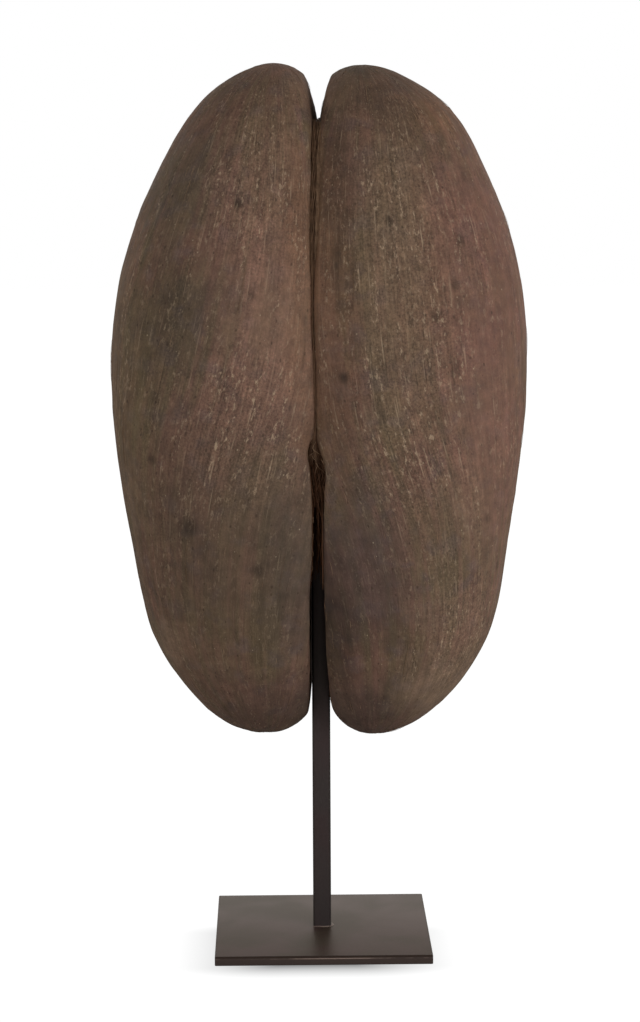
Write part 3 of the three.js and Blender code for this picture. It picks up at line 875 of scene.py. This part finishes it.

# Stains on the husk, and some painted shade and light beside the furrow and notch: centre and reach in
# millimetres, strength and colour.
STAINS_AND_PAINTED_SHADING = (
    ((-60, -50, 364), (26, 60, 28), 0.35, (80, 71, 62)),
    ((-22, -55, 300), (26, 50, 76), 0.50, (130, 99, 84)),
    ((-16, -55, 345), (13, 40, 28), 0.20, (132, 96, 80)),
    # painted shade on the furrow's left lip
    ((-9.5, -58, 345), (6.5, 30, 24), 0.62, (88, 62, 51)),
    ((-10, -60, 250), (7, 30, 17), 0.40, (88, 70, 58)),
    ((-72, -45, 280), (9, 40, 12), 0.25, (80, 64, 50)),
    ((44, -50, 366), (16, 50, 22), 0.22, (82, 66, 52)),
    ((-62, -50, 148), (18, 50, 28), 0.30, (116, 96, 76)),
    ((60, -50, 160), (20, 50, 18), 0.25, (122, 100, 82)),
    ((-86, -40, 212), (9, 50, 14), 0.30, (112, 94, 74)),
    ((-30, -55, 210), (12, 40, 10), 0.22, (108, 88, 70)),
    ((44, -55, 257), (14, 40, 14), 0.22, (120, 98, 78)),
    ((-22, -50, 373), (12, 40, 12), 0.28, (118, 94, 76)),
    ((-64, -50, 298), (20, 60, 20), 0.38, (66, 54, 46)),
    ((-88, -40, 262), (14, 60, 70), 0.50, (106, 93, 68)),
    ((-44, -55, 205), (36, 50, 56), 0.50, (84, 70, 55)),
    ((-13, -55, 186), (15, 40, 48), 0.55, (78, 67, 58)),
    ((-18, -45, 112), (40, 60, 20), 0.60, (76, 62, 54)),
    # painted shade where the right lobe turns into the furrow
    ((6, -50, 342), (8, 45, 48), 0.75, (73, 55, 44)),
    ((9, -55, 250), (8, 40, 28), 0.40, (82, 62, 48)),
    ((22, -45, 398), (38, 50, 17), 0.55, (82, 66, 52)),
    ((-40, -45, 398), (30, 50, 12), 0.35, (84, 69, 56)),
    ((36, -55, 322), (18, 50, 74), 0.50, (122, 98, 78)),
    ((56, -45, 386), (14, 50, 13), 0.45, (126, 92, 66)),
    ((74, -50, 310), (30, 70, 84), 0.60, (119, 82, 70)),
    ((78, -42, 225), (22, 60, 44), 0.40, (130, 94, 80)),
    ((30, -56, 350), (14, 40, 30), 0.25, (112, 98, 76)),
    ((20, -55, 184), (20, 45, 36), 0.60, (76, 63, 60)),
    ((7, -50, 154), (8, 45, 36), 0.60, (52, 39, 34)),
    ((18, -45, 112), (26, 60, 20), 0.55, (74, 61, 58)),
    ((62, -50, 124), (28, 60, 26), 0.55, (132, 108, 88)),
    ((54, -50, 208), (20, 45, 22), 0.30, (104, 90, 66)),
    # painted shade down the furrow
    ((-2, -55, 290), (1.6, 60, 90), 0.35, (80, 54, 36)),
    ((-4.5, -58, 243), (5.5, 20, 11), 0.60, (76, 54, 38)),
    # painted shade in the notch
    ((-1, 0, 384), (6, 70, 7), 0.80, (54, 38, 27)),
    ((-6, -58, 310), (11, 40, 90), 0.40, (124, 91, 65)),
    ((8, -58, 296), (9, 40, 70), 0.30, (112, 83, 60)),
    # painted light on both lobes' inner top edges beside the notch
    ((-9, -38, 398), (9, 40, 10), 0.40, (124, 100, 80)),
    ((9, -38, 398), (8, 40, 10), 0.35, (116, 94, 76)),
    ((36, -46, 384), (12, 40, 16), 0.30, (76, 60, 48)),
    ((-71, -30, 146), (9, 30, 12), 0.40, (132, 112, 92)),
    ((8, -40, 120), (9, 30, 16), 0.42, (100, 80, 66)),
    ((54, -37, 126), (20, 30, 13), 0.38, (130, 109, 92)),
    ((34, -60, 300), (12, 40, 46), 0.22, (126, 102, 82)),
    ((-23, -59, 300), (9, 40, 30), 0.22, (140, 108, 90)),
    ((-8, -58, 221), (8, 30, 14), 0.30, (78, 62, 51)),
    ((-30, -58, 221), (17, 30, 9), 0.22, (110, 88, 71)),
    ((35, -58, 220), (8, 30, 9), 0.22, (84, 66, 55)),
    ((20, -57, 220), (6, 30, 10), 0.25, (98, 79, 69)),
    ((-65, -52, 221), (8, 30, 9), 0.22, (82, 68, 55)),
    ((-90, 26, 330), (30, 30, 42), 0.45, (118, 90, 74)),
    ((-92, 20, 190), (30, 34, 38), 0.40, (84, 70, 56)),
    ((94, 26, 300), (30, 32, 60), 0.45, (120, 88, 72)),
    ((88, 24, 170), (30, 34, 34), 0.40, (88, 72, 62)),
    ((-45, 66, 335), (28, 30, 46), 0.50, (122, 92, 76)),
    ((-60, 62, 250), (24, 30, 40), 0.40, (78, 66, 54)),
    ((48, 66, 310), (28, 30, 56), 0.45, (118, 92, 70)),
    ((-40, 62, 165), (34, 30, 38), 0.45, (82, 68, 57)),
    ((44, 62, 180), (30, 30, 44), 0.50, (78, 65, 60)),
    ((4, 62, 320), (6, 40, 70), 0.45, (78, 57, 43)),
)
# Small dark blemishes: centre and reach in millimetres, and strength.
BLEMISHES = (
    ((-36, -50, 347), (2.0, 9, 2.2), 0.80),
    ((30, -56, 339), (1.8, 9, 2.2), 0.70),
    ((10, -62, 271), (2.2, 9, 2.6), 0.75),
    ((-59, -55, 204), (4.2, 9, 4.4), 0.60),
    ((-29, -56, 184), (2.4, 9, 2.6), 0.50),
    ((-76, -48, 234), (2.0, 9, 2.6), 0.55),
    ((59, -58, 311), (2.2, 9, 2.4), 0.50),
    ((62, -52, 330), (2.6, 9, 2.8), 0.40),
    ((50, -61, 298), (2.4, 9, 2.8), 0.45),
    ((-31, -59, 307), (2.4, 9, 2.4), 0.35),
    ((-74, -51, 262), (1.8, 9, 2.2), 0.40),
    ((-14, -49, 347), (1.8, 9, 2.2), 0.40),
    ((74, -49, 206), (2.4, 9, 2.6), 0.40),
    ((-94, 8, 286), (9, 2.4, 2.8), 0.55),
    ((-88, 28, 214), (9, 3.0, 3.4), 0.50),
    ((93, 20, 322), (9, 2.2, 2.6), 0.55),
    ((90, 30, 238), (9, 3.0, 3.2), 0.50),
    ((-34, 60, 296), (2.4, 9, 2.6), 0.60),
    ((-62, 52, 206), (3.4, 9, 3.6), 0.50),
    ((38, 60, 262), (2.6, 9, 3.0), 0.60),
    ((60, 50, 344), (2.2, 9, 2.4), 0.50),
)
# Where pale fibre ends show most: centre and reach in millimetres.
DUSTY = (
    ((-28, -55, 352), (22, 50, 38)),
    ((-36, -55, 250), (30, 50, 42)),
    ((34, -55, 330), (22, 50, 56)),
    ((38, -55, 236), (26, 50, 34)),
    ((66, -45, 150), (18, 60, 34)),
    ((40, -55, 278), (26, 50, 34)),
    ((-34, 62, 270), (30, 50, 80)),
    ((40, 62, 250), (30, 50, 70)),
    ((-92, 12, 250), (30, 26, 60)),
    ((92, 16, 280), (30, 30, 60)),
)
# Where the husk is smoother than elsewhere: centre, reach, and how much of the dustiness goes.
SMOOTH = (
    ((-32, -55, 168), (36, 70, 52), 0.65),
    ((16, -55, 172), (24, 70, 44), 0.60),
    ((16, -45, 116), (40, 70, 20), 0.50),
    ((84, -35, 270), (16, 60, 90), 0.25),
)
# How ragged these places are, and where they start to fade and have faded, in shares of their reach.
PATCH_RAGGED, PATCH_CORE, PATCH_EDGE = 0.9, 0.75, 1.95
DUSTY_LEAST = 0.35


class Look:
    """The nodes of a material or a world, added one by one."""

    def __init__(self, owner):
        owner.use_nodes = True
        self.owner, self.tree = owner, owner.node_tree
        self.shader = self.tree.nodes.get("Principled BSDF")
        self.place = self.node("TexCoord", {})["Object"]  # in metres

    def set(self, node, inputs):
        """Links a node's inputs to other nodes' outputs, or sets them, by name or number."""
        for key, value in inputs.items():
            if isinstance(value, bpy.types.NodeSocket):
                self.tree.links.new(value, node.inputs[key])
            else:
                node.inputs[key].default_value = value

    def node(self, kind, inputs, **settings):
        """Adds a node and returns its outputs."""
        node = self.tree.nodes.new("ShaderNode" + kind)
        for name, value in settings.items():
            setattr(node, name, value)
        self.set(node, inputs)
        return node.outputs

    def along_fibres(self, across, along, start=0.0):
        """Coordinates that run round a lobe and along it, in cells of across by along millimetres."""
        uv = self.node("UVMap", {}, uv_map="fibre")["UV"]
        inputs = {0: uv, 1: (LOBE_GIRTH / across, LOBE_LENGTH / along, 1), 2: (start,) * 3}
        return self.node("VectorMath", inputs, operation="MULTIPLY_ADD")[0]

    def noise(self, name):
        """One of the NOISES, from 0 to 1."""
        cell, detail, roughness, distortion, start = NOISES[name][:5]
        if isinstance(cell, tuple):
            vector, scale = self.along_fibres(*cell), 1.0
        else:
            vector, scale = self.place, 1 / (cell * MM)
        inputs = {"Vector": vector, "W": start, "Scale": scale, "Detail": detail}
        inputs |= {"Roughness": roughness, "Distortion": distortion}
        return self.node("TexNoise", inputs, noise_dimensions="4D")[0]

    def step(self, value, low, high, to_low=0.0, to_high=1.0):
        """A soft step from to_low to to_high as value goes from low to high."""
        inputs = {"Value": value, 1: low, 2: high, 3: to_low, 4: to_high}
        return self.node("MapRange", inputs, interpolation_type="SMOOTHSTEP")[0]

    def stepped(self, name):
        return self.step(self.noise(name), *NOISES[name][5:])

    def number(self, operation, one, other, **settings):
        return self.node("Math", {0: one, 1: other}, operation=operation, **settings)[0]

    def sum(self, one, other):
        return self.number("ADD", one, other)

    def product(self, one, other):
        return self.number("MULTIPLY", one, other)

    def vector(self, operation, one, other=(0, 0, 0)):
        return self.node("VectorMath", {0: one, 1: other}, operation=operation)[0]

    def length(self, vector):
        return self.node("VectorMath", {0: vector}, operation="LENGTH")["Value"]

    def mix(self, amount, one, other, blend="MIX"):
        """One colour turned towards another by amount."""
        inputs = {0: amount, 6: one, 7: other}
        return self.node("Mix", inputs, data_type="RGBA", blend_type=blend)[2]

    def varied(self, base, noise, amount):
        """A colour made lighter and darker by noise, by up to amount either way."""
        value = self.sum(1, self.product(self.step(noise, *TONE_STEPS), amount))
        grey = self.node("CombineColor", {0: value, 1: value, 2: value})[0]
        return self.mix(1.0, base, grey, "MULTIPLY")

    def bump(self, height, depth):
        """Relief, where height goes from 0 to 1 and depth is what that is in millimetres."""
        inputs = {"Height": height, "Distance": depth * MM, "Strength": 1.0}
        return self.node("Bump", inputs)["Normal"]

    def show(self, seen, lit, output):
        """Shows the camera one shader, and lets another light everything else."""
        path = self.node("LightPath", {})["Is Camera Ray"]
        mixed = self.node("MixShader", {0: path, 1: lit, 2: seen})[0]
        self.set(self.tree.nodes[output], {"Surface": mixed})


def scattered(look, place, size, share):
    """Spots in the cells of a flat place: 1 inside them, 0 outside, in a share of the cells."""
    cells = look.node("TexVoronoi", {"Vector": place, "Scale": 1.0}, voronoi_dimensions="2D")
    chance = look.node("SeparateColor", {0: cells["Color"]})[0]
    reach = look.step(chance, 1 - share, 1, SMALLEST_SPOT * size, size)
    spot = look.step(look.number("DIVIDE", cells["Distance"], reach), SPOT_CORE, 1, 1, 0)
    return look.product(spot, look.step(chance, 1 - share, 1 - share + SPOT_CHANCE_STEP))


def patch(look, ragged, centre, reach):
    """1 in the middle of an ellipsoid in the nut, falling to 0 outside it at a soft, ragged edge."""
    inverse = tuple(1 / (r * MM) for r in reach)
    shift = tuple(-c / r for c, r in zip(centre, reach))
    inputs = {0: look.place, 1: inverse, 2: shift}
    away = look.length(look.node("VectorMath", inputs, operation="MULTIPLY_ADD")[0])
    away = look.sum(away, look.product(ragged, PATCH_RAGGED))
    return look.step(away, PATCH_CORE, PATCH_EDGE, 1, 0)


def husk_ground(look, ragged):
    """The husk's broad colours: olive and reddish browns in bands along the fibres, stains, and painted
    shade and light by the furrow and notch.
    """
    hue = look.product(look.sum(look.noise("cloud"), look.noise("bands")), 0.5)
    base = look.mix(look.step(hue, *HUE_STEPS), HUSK_OLIVE, HUSK_RED)
    base = look.mix(look.stepped("grey"), base, HUSK_GREY)
    base = look.mix(look.stepped("blue"), base, HUSK_BLUE)
    # stains, and in some of them painted shade and light beside the furrow and notch
    for centre, reach, strength, stain_or_shading in STAINS_AND_PAINTED_SHADING:
        amount = look.product(patch(look, ragged, centre, reach), strength)
        base = look.mix(amount, base, colour(*stain_or_shading))
    for centre, reach, strength in BLEMISHES:
        amount = look.product(patch(look, ragged, centre, reach), strength)
        base = look.mix(amount, base, HUSK_DARK)
    return base


def dustiness(look, ragged):
    """How many pale fibre ends show: most in the dusty places, and in bands along the fibres."""
    dust = look.stepped("dust")
    for centre, reach in DUSTY:
        dust = look.number("MAXIMUM", dust, patch(look, ragged, centre, reach))
    dust = look.step(dust, 0, 1, DUSTY_LEAST, 1)
    for centre, reach, share in SMOOTH:
        gone = look.product(patch(look, ragged, centre, reach), -share)
        dust = look.product(dust, look.sum(1, gone))
    return dust


def husk_look():
    """Weathered husk: dry fibres in olive and reddish browns, streaked, flecked and pitted."""
    look = Look(bpy.data.materials.new("husk"))
    ragged = look.noise("ragged")
    dusty = dustiness(look, ragged)
    base = husk_ground(look, ragged)
    layers = {}
    for name, everywhere, where_dusty in TONES:
        layers[name] = look.noise(name)
        amount = look.sum(everywhere, look.product(dusty, where_dusty))
        base = look.varied(base, layers[name], amount)
    for name, strength, mark in MARKS:
        layers[name] = look.stepped(name)
        if name == "ends":  # they stand in rows
            layers[name] = look.product(layers[name], look.stepped("rows"))
        amount = look.product(layers[name], look.product(dusty, strength))
        base = look.mix(amount, base, mark)
    for across, along, size, share, strength, spot, start in HUSK_SPOTS:
        spots = scattered(look, look.along_fibres(across, along, start), size, share)
        base = look.mix(look.product(spots, strength), base, spot)

    layers["dusty ends"] = look.product(layers["ends"], dusty)
    height = 0.0
    for name, share in RELIEF.items():
        height = look.sum(height, look.product(layers[name], share))
    look.set(look.shader, {
        "Base Color": base,
        "Roughness": look.step(layers["mottle"], *HUSK_ROUGHNESS),
        "Specular IOR Level": HUSK_GLOSS,
        "Normal": look.bump(height, HUSK_RELIEF),
    })
    return look.owner


def fibre_look():
    """Dry fibre, brown to straw-coloured, each in its own tone."""
    look = Look(bpy.data.materials.new("loose_fibre"))
    tone = look.node("Attribute", {}, attribute_name="tone")["Fac"]
    base = look.mix(tone, FIBRE_BROWN, FIBRE_PALE)
    look.set(look.shader, {
        "Base Color": look.varied(base, look.noise("loose"), FIBRE_TONE),
        "Roughness": FIBRE_ROUGHNESS,
        "Specular IOR Level": FIBRE_GLOSS,
    })
    return look.owner


def paint_look(name, brown, grey, sheen, gloss):
    """Satin brown-black paint on steel, a little uneven. Returns the look and its colour."""
    look = Look(bpy.data.materials.new(name))
    cloud = look.stepped("paint")
    look.set(look.shader, {
        "Roughness": look.step(look.noise("paint"), *PAINT_ROUGHNESS),
        "Specular IOR Level": gloss,
        "Specular Tint": sheen,
        "Normal": look.bump(look.noise("skin"), PAINT_RELIEF),
    })
    base = look.mix(cloud, brown, grey)
    return look, look.varied(base, look.noise("specks"), PAINT_TONE)


def plate_look():
    """The plate's paint: its sides painted lighter for the light on them, a rim of painted shade round
    its top, and under it a painted highlight line.
    """
    look, base = paint_look("plate_paint", PLATE_BROWN, PLATE_GREY, PLATE_SHEEN, PLATE_GLOSS)
    half_side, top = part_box("base_plate")[1].x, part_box("base_plate")[1].z
    size = look.node("SeparateXYZ", {0: look.vector("ABSOLUTE", look.place)})
    out = look.number("MAXIMUM", size["X"], size["Y"])
    # painted light: the sides take a lighter, less red copy of the paint for the light they get
    side = look.step(out, *(half_side - inset * MM for inset in LIT_SIDES_BEGIN))
    base = look.mix(side, base, PLATE_SIDES_LIT)
    past = look.sum(look.sum(out, size["Z"]), -half_side - top)
    # painted shade along the rounded upper edge
    rim = look.step(past, *(-reach * MM for reach in RIM_REACH))
    base = look.mix(look.product(rim, RIM_SHARE), base, PLATE_RIM_SHADE)
    # painted highlight on a line just below the upper edge, brightest at the front middle and broken up
    # by noise
    borders = [-reach * MM for reach in HIGHLIGHT_LINE]
    line = look.product(look.step(past, *borders[:2]), look.step(past, *borders[2:], 1, 0))
    away = look.length(look.vector("SUBTRACT", look.place, tuple(at * MM for at in HIGHLIGHT_PLACE)))
    worn = look.sum(look.step(away, 0, HIGHLIGHT_SPREAD * MM, *HIGHLIGHT_ENDS), look.noise("highlight_breaks"))
    amount = look.product(look.product(line, side), look.step(worn, *HIGHLIGHT_STEPS))
    look.set(look.shader, {"Base Color": look.mix(amount, base, PAINTED_HIGHLIGHT)})
    return look.owner


def post_look():
    """The post's paint, with a painted dark reflection along its corners and a painted highlight on the
    bead round its foot.
    """
    look, base = paint_look("post_paint", POST_BROWN, POST_GREY, POST_SHEEN, POST_GLOSS)
    size = look.node("SeparateXYZ", {0: look.vector("ABSOLUTE", look.place)})
    # painted dark reflection along the post's corners
    corner = [at * MM for at in CORNER_SUM]
    corner = look.step(look.sum(size["X"], size["Y"]), *corner, 0, CORNER_SHARE)
    base = look.mix(corner, base, POST_CORNER_REFLECTION)
    # painted highlight on the bead round the post's foot
    bead_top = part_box("base_plate")[1].z + BEAD_HEIGHT * MM
    borders = [bead_top + at * MM for at in BEAD_HIGHLIGHT]
    bead_highlight = look.step(size["Z"], *borders, BEAD_HIGHLIGHT_SHARE, 0)
    look.set(look.shader, {"Base Color": look.mix(bead_highlight, base, PAINTED_HIGHLIGHT)})
    return look.owner


def steel_look():
    """Zinc-plated screw steel, with fine turning marks."""
    look = Look(bpy.data.materials.new("screw_steel"))
    marks = look.noise("turning")
    look.set(look.shader, {
        "Base Color": look.mix(marks, STEEL_LIGHT, STEEL_DARK),
        "Metallic": 1.0,
        "Roughness": look.step(marks, *STEEL_ROUGHNESS),
        "Normal": look.bump(marks, STEEL_RELIEF),
    })
    return look.owner


# ---- studio

def camera():
    """A long lens a little above the nut's middle, looking slightly down at it."""
    data = bpy.data.cameras.new("camera")
    data.lens, data.sensor_width = CAMERA_LENS, SENSOR_WIDTH
    data.clip_start, data.clip_end = CLIP_START, CLIP_END
    yaw, pitch, roll = CAMERA_TURN
    turn = Matrix.Rotation(-yaw, 4, "Z") @ Matrix.Rotation(math.pi / 2 - pitch, 4, "X")
    turn = turn @ Matrix.Rotation(roll, 4, "Z")
    piece = linked("camera", data)
    piece.matrix_world = Matrix.Translation(Vector(CAMERA_PLACE) * MM) @ turn
    bpy.context.scene.camera = piece


def softbox(name, place, aim, side, watts):
    """A square studio light of `side` millimetres, aimed at a point."""
    data = bpy.data.lights.new(name, "AREA")
    data.shape, data.size, data.energy = "SQUARE", side * MM, watts
    piece = linked(name, data)
    piece.location = Vector(place) * MM
    piece.rotation_mode = "QUATERNION"
    piece.rotation_quaternion = (Vector(aim) - Vector(place)).to_track_quat("-Z", "Y")


def world():
    """White to the camera. As light it is dim, and brighter behind the nut, where the backdrop is."""
    look = Look(bpy.data.worlds.new("studio"))
    way = look.node("SeparateXYZ", {0: look.node("TexCoord", {})["Generated"]})["Y"]
    light = look.mix(look.step(way, 0, WORLD_FRONT_ENDS), WORLD_FRONT, WORLD_BACK)
    lit, seen = (look.node("Background", {"Color": shown})[0] for shown in (light, WHITE))
    look.show(seen, lit, "World Output")
    bpy.context.scene.world = look.owner


def floor_look():
    """White paper that shows the camera only a contact shadow, and throws back little light."""
    look = Look(bpy.data.materials.new("floor_paper"))
    middle = tuple(-at * MM for at in SHADOW_MIDDLE) + (0,)
    core, fade = (tuple(size * MM for size in pair) + (1,) for pair in (SHADOW_CORE, SHADOW_FADE))
    local = look.vector("ABSOLUTE", look.vector("ADD", look.place, middle))
    outside = look.vector("MAXIMUM", look.vector("SUBTRACT", local, core))
    away = look.length(look.vector("DIVIDE", outside, fade))
    near = look.number("SUBTRACT", 1.0, away, use_clamp=True)
    shade = look.product(look.number("POWER", near, SHADOW_POWER), -SHADOW_DEPTH)
    glow = look.node("Emission", {"Strength": look.sum(PAPER_WHITE, shade)})[0]
    paper = look.node("BsdfDiffuse", {"Color": FLOOR_BOUNCE})[0]
    look.tree.nodes.remove(look.shader)
    look.show(glow, paper, "Material Output")
    return look.owner


def floor():
    bpy.ops.mesh.primitive_plane_add(size=FLOOR_SIDE * MM, location=(0, 0, -FLOOR_DROP * MM))
    piece = bpy.context.object
    piece.name = "floor"
    piece.data.materials.append(floor_look())
    piece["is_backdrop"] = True


def studio():
    scene = bpy.context.scene
    scene.view_settings.view_transform = "Standard"
    camera()
    world()
    floor()
    for light in SOFTBOXES:
        softbox(*light)


# ---- everything in its place

def dress():
    """Builds every piece and gives it its material."""
    husk, fibre, steel = husk_look(), fibre_look(), steel_look()
    plate_paint, post_paint = plate_look(), post_look()
    grids = {name: LobeGrid(lobe) for name, lobe in LOBES.items()}
    finished(nut_object(grids), husk, "husk", "nut")
    finished(strand_object("husk_fibres", surface_fibres(grids)), fibre, "husk")
    strings = front_and_back(furrow_string, FURROW_STRINGS, STRING_SEED)
    finished(strand_object("furrow_strings", strings), fibre, "husk")
    hairs = front_and_back(tuft_hair, TUFT_HAIRS, TUFT_SEED)
    finished(strand_object("cleft_tuft", hairs), fibre, "husk")
    finished(plate_object(), plate_paint, "stand_paint", "base_plate")
    finished(post_object(), post_paint, "stand_paint", "post")
    for slot in frame["nodes"]["screw"].material_slots:
        slot.material = steel


dress()
studio()
boxes = {"cad": cad_bounds, "visual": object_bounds()}
{name: [list(corner) for corner in box] for name, box in boxes.items()}
